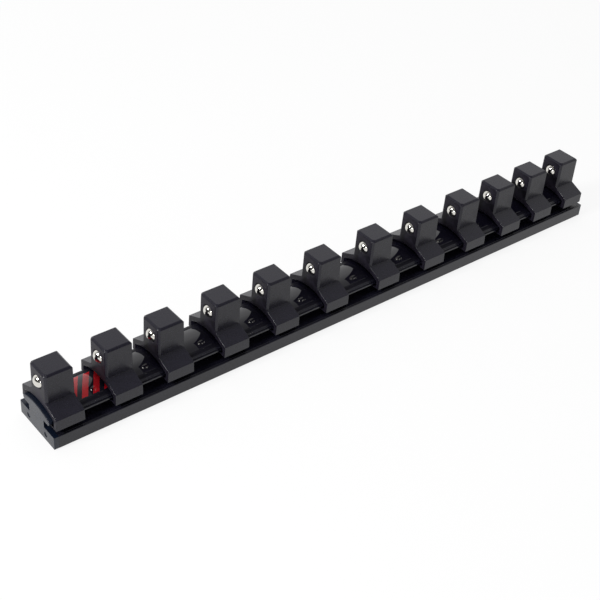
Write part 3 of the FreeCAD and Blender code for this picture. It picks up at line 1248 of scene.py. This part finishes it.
@dataclass
class DetentSpring:
    """Coil between the ball and the end of its bore."""

    clip: DriveClip
    wire: float = 0.6
    diameter: float = 4.6
    turns: int = 5
    end_gap: float = 0.05
    steps_per_turn: int = 24
    sides: int = 8

    @property
    def mean_radius(self) -> float:
        """Radius from the coil's axis to the middle of its wire."""
        return (self.diameter - self.wire) / 2

    def span(self) -> tuple[float, float]:
        """Where the wire's middle starts and ends.

        Returns:
            Its X at the ball and its X at the end of the bore, from the clip's middle.
        """
        c = self.clip
        seat = c.ball_radius + self.wire / 2 + self.end_gap
        start = c.ball_x + math.sqrt(seat ** 2 - self.mean_radius ** 2)
        return start, c.post_half(c.ball_z) - c.end_wall - self.wire / 2 - self.end_gap

    def stretch(self, piece: bpy.types.Object) -> None:
        """Bakes a coil's place into its mesh."""
        start, end = (piece.location + Vector((x, 0.0, self.clip.ball_z)) * MM for x in self.span())
        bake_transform(piece)

    def build_mesh(self) -> bpy.types.Mesh:
        """Builds the coil about its clip's middle.

        Returns:
            The coil's mesh, which each spring copies.
        """
        start, end = self.span()
        parts = MeshParts()
        rings = []
        count = self.turns * self.steps_per_turn
        for i in range(count + 1):
            share = i / count
            turn = 2 * math.pi * self.turns * share
            x = start + (end - start) * share
            ring = []
            for k in range(self.sides):
                a = 2 * math.pi * k / self.sides
                reach = self.mean_radius + self.wire / 2 * math.cos(a)
                ring.append(parts.point(x + self.wire / 2 * math.sin(a), reach * math.cos(turn),
                                        self.clip.ball_z + reach * math.sin(turn)))
            rings.append(ring)
        parts.tube(rings)
        mesh = parts.mesh("detent_spring")
        shade_smooth(mesh)
        return mesh


# ---------------------------------------------------------------- studio


@dataclass(frozen=True)
class Lamp:
    """A square light that faces the object; glossy faces show it only where mirrored."""

    name: str
    place: Point3
    size: float
    watts: float
    mirrored: bool = True

    def build(self) -> None:
        """Adds the light to the scene."""
        data = bpy.data.lights.new(self.name, "AREA")
        data.size = self.size
        data.energy = self.watts
        lamp = new_object(self.name, data)
        place = Vector(self.place)
        lamp.location = place
        lamp.rotation_mode = "QUATERNION"
        lamp.rotation_quaternion = (-place).to_track_quat("-Z", "Y")
        lamp.visible_camera = False
        lamp.visible_glossy = self.mirrored


@dataclass
class Studio:
    """Pale floor, soft lights, and the camera, in metres."""

    camera_place: Point3 = (-0.3152, -0.3294, 0.3412)
    azimuth: float = -41.53
    elevation: float = 36.99
    roll: float = 4.94
    focal_px: float = 1198.0
    image_px: float = 600.0
    sensor_mm: float = 36.0
    near_clip: float = 0.01
    floor_size: float = 12.0
    floor_gap: float = 0.0002
    floor_white: float = 0.85
    floor_veil: float = 0.85
    floor_mirrored: float = 0.88
    sweep_way: Point2 = (0.69, 0.72)
    sweep_range: Point2 = (-0.25, 0.35)
    roof_range: Point2 = (0.62, 0.88)
    wall_light: float = 0.92
    roof_light: float = 0.32
    room_light: float = 0.10
    lamps: tuple[Lamp, ...] = (
        Lamp("key", (-0.95, 0.07, 0.72), 0.26, 9.5),
        Lamp("top", (0.1, 0.3, 1.5), 1.2, 8.0, mirrored=False),
        Lamp("fill", (-0.78, -1.09, 0.36), 0.3, 2.6),
    )

    def build(self) -> None:
        """Makes the floor, the world, the lights and the camera.

        The key stands high over the rail's left end, and the weak fill in front of it.
        """
        self.floor()
        self.world()
        for lamp in self.lamps:
            lamp.build()
        self.camera()

    def floor(self) -> None:
        """White floor: nearly plain white to the eye, but it keeps the object's shadow."""
        half = self.floor_size / 2
        parts = MeshParts()
        corners = [(-half, -half), (half, -half), (half, half), (-half, half)]
        parts.face(*(parts.point(x / MM, y / MM, -self.floor_gap / MM) for x, y in corners))
        floor = new_object("studio_floor", parts.mesh("studio_floor"))
        material = bpy.data.materials.new("studio_floor")
        material.use_nodes = True
        graph = NodeGraph(material.node_tree)
        paper = graph.add("BsdfDiffuse", {"Color": (self.floor_white,) * 3 + (1.0,)})
        path = graph.add("LightPath")
        level = graph.remap(path.outputs["Is Glossy Ray"], (0.0, 1.0), (1.0, self.floor_mirrored))
        glow = graph.add("Emission", {"Color": WHITE, "Strength": level})
        seen = graph.math("MAXIMUM", path.outputs["Is Camera Ray"], path.outputs["Is Glossy Ray"])
        seen = graph.math("MAXIMUM", seen, path.outputs["Is Transmission Ray"])
        share = graph.math("MULTIPLY", seen, self.floor_veil)
        mixed = graph.add("MixShader", {0: share, 1: paper.outputs[0], 2: glow.outputs[0]})
        graph.output(mixed.outputs[0])
        floor.data.materials[0] = material

    def world(self) -> None:
        """Bright paper sweep behind, dimmer roof, dark room on the camera's side.

        The sweep brightens along sweep_way over sweep_range, and the roof starts over roof_range of height.
        """
        world = bpy.data.worlds.new("studio")
        bpy.context.scene.world = world
        world.use_nodes = True
        graph = NodeGraph(world.node_tree)
        axes = graph.add("SeparateXYZ", {"Vector": graph.add("TexCoord").outputs["Generated"]})
        back = graph.math("ADD", graph.math("MULTIPLY", axes.outputs["X"], self.sweep_way[0]),
                          graph.math("MULTIPLY", axes.outputs["Y"], self.sweep_way[1]))
        sweep = graph.remap(back, self.sweep_range)
        above = graph.remap(axes.outputs["Z"], self.roof_range)
        paper = graph.math("MULTIPLY", sweep, self.wall_light - self.room_light)
        wall = graph.math("ADD", self.room_light, paper)
        rest = graph.math("MULTIPLY", wall, graph.math("SUBTRACT", 1.0, above))
        roof = graph.math("MULTIPLY", above, self.roof_light)
        level = graph.math("ADD", rest, roof)
        path = graph.add("LightPath")
        level = graph.math("MAXIMUM", level, path.outputs["Is Camera Ray"])
        background = graph.add("Background", {"Color": WHITE, "Strength": level})
        graph.output(background.outputs[0], "OutputWorld")

    def camera(self) -> None:
        """Camera turned by azimuth, elevation and a small roll."""
        a, e, r = (math.radians(v) for v in (self.azimuth, self.elevation, self.roll))
        back = Vector((math.sin(a) * math.cos(e), -math.cos(a) * math.cos(e), math.sin(e)))
        level = Vector((0.0, 0.0, 1.0)).cross(back).normalized()
        upright = back.cross(level)
        right = math.cos(r) * level + math.sin(r) * upright
        up = -math.sin(r) * level + math.cos(r) * upright
        data = bpy.data.cameras.new("camera")
        data.sensor_width = self.sensor_mm
        data.lens = self.focal_px / self.image_px * self.sensor_mm
        data.clip_start = self.near_clip
        camera = new_object("camera", data)
        turn = Matrix((right, up, back)).transposed()
        camera.matrix_world = Matrix.Translation(self.camera_place) @ turn.to_4x4()
        bpy.context.scene.camera = camera


# ---------------------------------------------------------------- assembly


@dataclass
class SocketRail:
    """The whole object, in the order in which it would be put together."""

    finishes: Finishes = field(default_factory=Finishes)

    def build(self, bodies: Iterable[str]) -> None:
        """Builds every piece and puts each one, except the springs, on its body.

        Args:
            bodies: Names of the frame's bodies.
        """
        rail_low, rail_high = (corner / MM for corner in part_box("rail"))
        strip_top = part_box("crown_strip")[1].z / MM
        section = Section(base_width=rail_high.y - rail_low.y, crown_top=strip_top)
        self.rail_and_strip(section, (rail_high.x - rail_low.x) / 2)
        self.caps()
        numbers = sorted(body[-2:] for body in bodies if body.startswith("clip_"))
        self.clips(section, numbers)

    def rail_and_strip(self, section: Section, half_length: float) -> None:
        """Builds the extrusion and its strip.

        Args:
            section: Sizes across the rail.
            half_length: Half of the extrusion's length.
        """
        rail = Rail(section, half_length).build()
        dress(rail, Slot.RAIL, self.finishes.rail, self.finishes.crown_edge)
        self.seat(rail, "rail", "rail")
        strip = CrownStrip(section, half_length).build()
        dress(strip, Slot.CROWN, self.finishes.crown, self.finishes.crown_edge)
        self.seat(strip, "rail", "crown_strip")

    def caps(self) -> None:
        """Dresses the end caps, whose shape is the frame's own."""
        for cap in EndCap:
            dress(bpy.data.objects[cap.value], Slot.CAP, self.finishes.cap)
            LOG.info("dressed %s", cap.value)

    def clips(self, section: Section, numbers: Sequence[str]) -> None:
        """Builds each clip with its ball and its spring.

        Args:
            section: Sizes across the rail.
            numbers: The clips' two-digit numbers.
        """
        clip = DriveClip(section, top=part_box("clip_01")[1].z / MM)
        spring = DetentSpring(clip)
        shared = {
            "clip_": (clip.build_mesh(), Slot.CLIP, (self.finishes.clip, self.finishes.clip_ends_grain_and_painted_light)),
            "detent_ball_": (DetentBall(clip).build_mesh(), Slot.BALL, (self.finishes.ball,)),
        }
        coil = spring.build_mesh()
        for number in numbers:
            low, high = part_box("clip_" + number)
            middle = (low.x + high.x) / 2
            for name, (mesh, slot, finishes) in shared.items():
                piece = new_object(name + "look_" + number, mesh)
                piece.location.x = middle
                dress(piece, slot, *finishes)
                self.seat(piece, name + number, name + number)
            piece = new_object("detent_spring_look_" + number, coil.copy())
            piece.location.x = middle
            dress(piece, Slot.SPRING, self.finishes.spring)
            spring.stretch(piece)
            self.stand_for(piece, "detent_spring_" + number)

    def seat(self, piece: bpy.types.Object, body: str, node: str) -> None:
        """Puts a piece on its body in place of a frame node."""
        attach(piece, body)
        self.stand_for(piece, node)

    def stand_for(self, piece: bpy.types.Object, node: str) -> None:
        """Puts a piece in place of a frame node and reports it."""
        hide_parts(node)
        LOG.info("built %s in place of %s, with %d faces", piece.name, node, len(piece.data.polygons))


def corners(box: tuple[Vector, Vector]) -> list[list[float]]:
    """A box as plain lists of numbers."""
    return [list(corner) for corner in box]


def main() -> None:
    """Builds the object and the studio round it."""
    logging.basicConfig(level=logging.INFO, format="%(name)s: %(message)s")
    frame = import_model()
    SocketRail().build(frame["bodies"])
    Studio().build()
    bpy.context.scene.view_settings.view_transform = "Standard"


if __name__ == "__main__":
    main()
